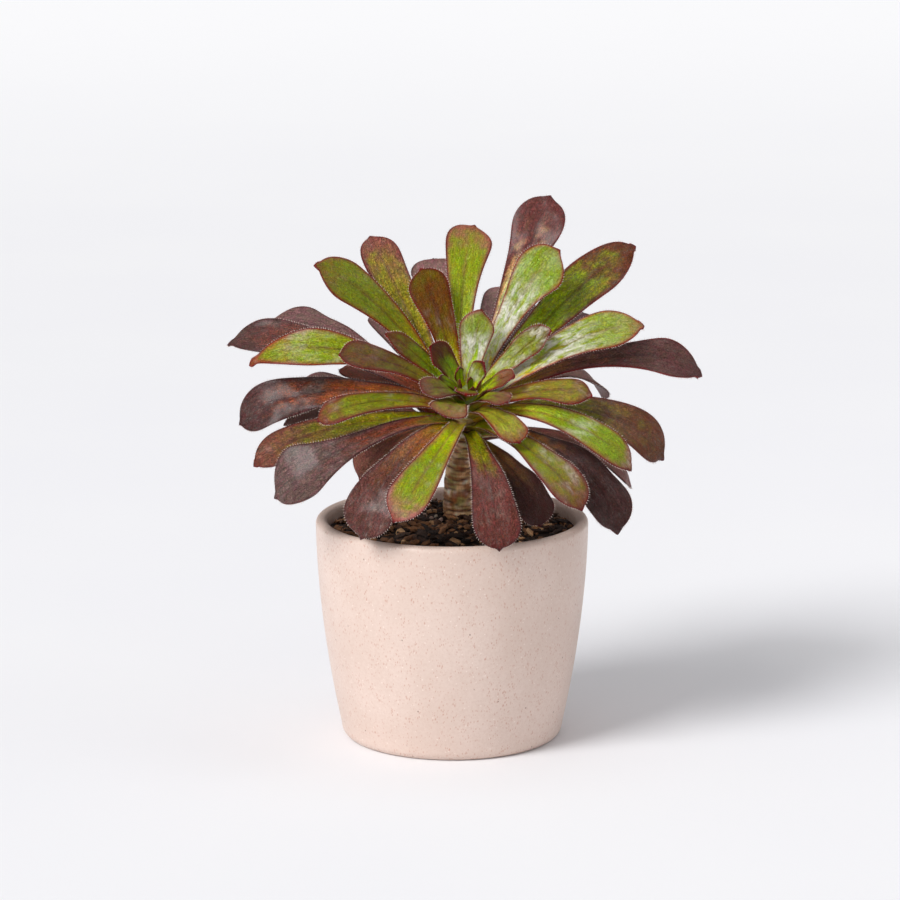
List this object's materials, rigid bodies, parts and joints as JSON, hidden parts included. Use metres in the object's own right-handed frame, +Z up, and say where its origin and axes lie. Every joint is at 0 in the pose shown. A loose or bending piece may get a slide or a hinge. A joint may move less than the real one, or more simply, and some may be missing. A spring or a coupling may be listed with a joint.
{
  "type": "potted aeonium",
  "caption": "Tree aeonium with one short ringed stem and a leaning open rosette of green to dark purple spoon-shaped leaves, growing in soil in a round speckled stoneware pot.",
  "frame": {"origin": "centre of the pot's flat underside, where the pot's axis meets the surface it stands on", "axes": "+Z up along the pot's axis; -Y is the front, towards which the rosette leans; +X is to the right seen from the front"},
  "size_m": [0.2099, 0.15, 0.2346],
  "materials": {
    "clay": "satin",
    "earth": "matte",
    "bark": "matte",
    "bud_leaf": "satin",
    "inner_leaf": "satin",
    "middle_leaf": "satin",
    "outer_leaf": "satin",
    "old_leaf": "satin"
  },
  "bodies": {
    "root": {"pot": "clay", "soil": "earth", "stem": "bark", "bud_leaf_1": "bud_leaf", "bud_leaf_2": "bud_leaf", "bud_leaf_3": "bud_leaf", "bud_leaf_4": "bud_leaf", "inner_leaf_1": "inner_leaf", "inner_leaf_2": "inner_leaf", "inner_leaf_3": "inner_leaf", "inner_leaf_4": "inner_leaf", "inner_leaf_5": "inner_leaf", "inner_leaf_6": "inner_leaf", "inner_leaf_7": "inner_leaf", "inner_leaf_8": "inner_leaf", "middle_leaf_1": "middle_leaf", "middle_leaf_2": "middle_leaf", "middle_leaf_3": "middle_leaf", "middle_leaf_4": "middle_leaf", "middle_leaf_5": "middle_leaf", "middle_leaf_6": "middle_leaf", "middle_leaf_7": "middle_leaf", "middle_leaf_8": "middle_leaf", "middle_leaf_9": "middle_leaf", "middle_leaf_10": "middle_leaf", "middle_leaf_11": "middle_leaf", "middle_leaf_12": "middle_leaf", "middle_leaf_13": "middle_leaf", "outer_leaf_1": "outer_leaf", "outer_leaf_2": "outer_leaf", "outer_leaf_3": "outer_leaf", "outer_leaf_4": "outer_leaf", "outer_leaf_5": "outer_leaf", "outer_leaf_6": "outer_leaf", "outer_leaf_7": "outer_leaf", "outer_leaf_8": "outer_leaf", "outer_leaf_9": "outer_leaf", "outer_leaf_10": "outer_leaf", "outer_leaf_11": "outer_leaf", "old_leaf_1": "old_leaf", "old_leaf_2": "old_leaf", "old_leaf_3": "old_leaf", "old_leaf_4": "old_leaf", "old_leaf_5": "old_leaf", "old_leaf_6": "old_leaf", "old_leaf_7": "old_leaf", "old_leaf_8": "old_leaf", "old_leaf_9": "old_leaf", "old_leaf_10": "old_leaf", "old_leaf_11": "old_leaf", "old_leaf_12": "old_leaf", "old_leaf_13": "old_leaf", "old_leaf_14": "old_leaf"}
  },
  "joints": []
}
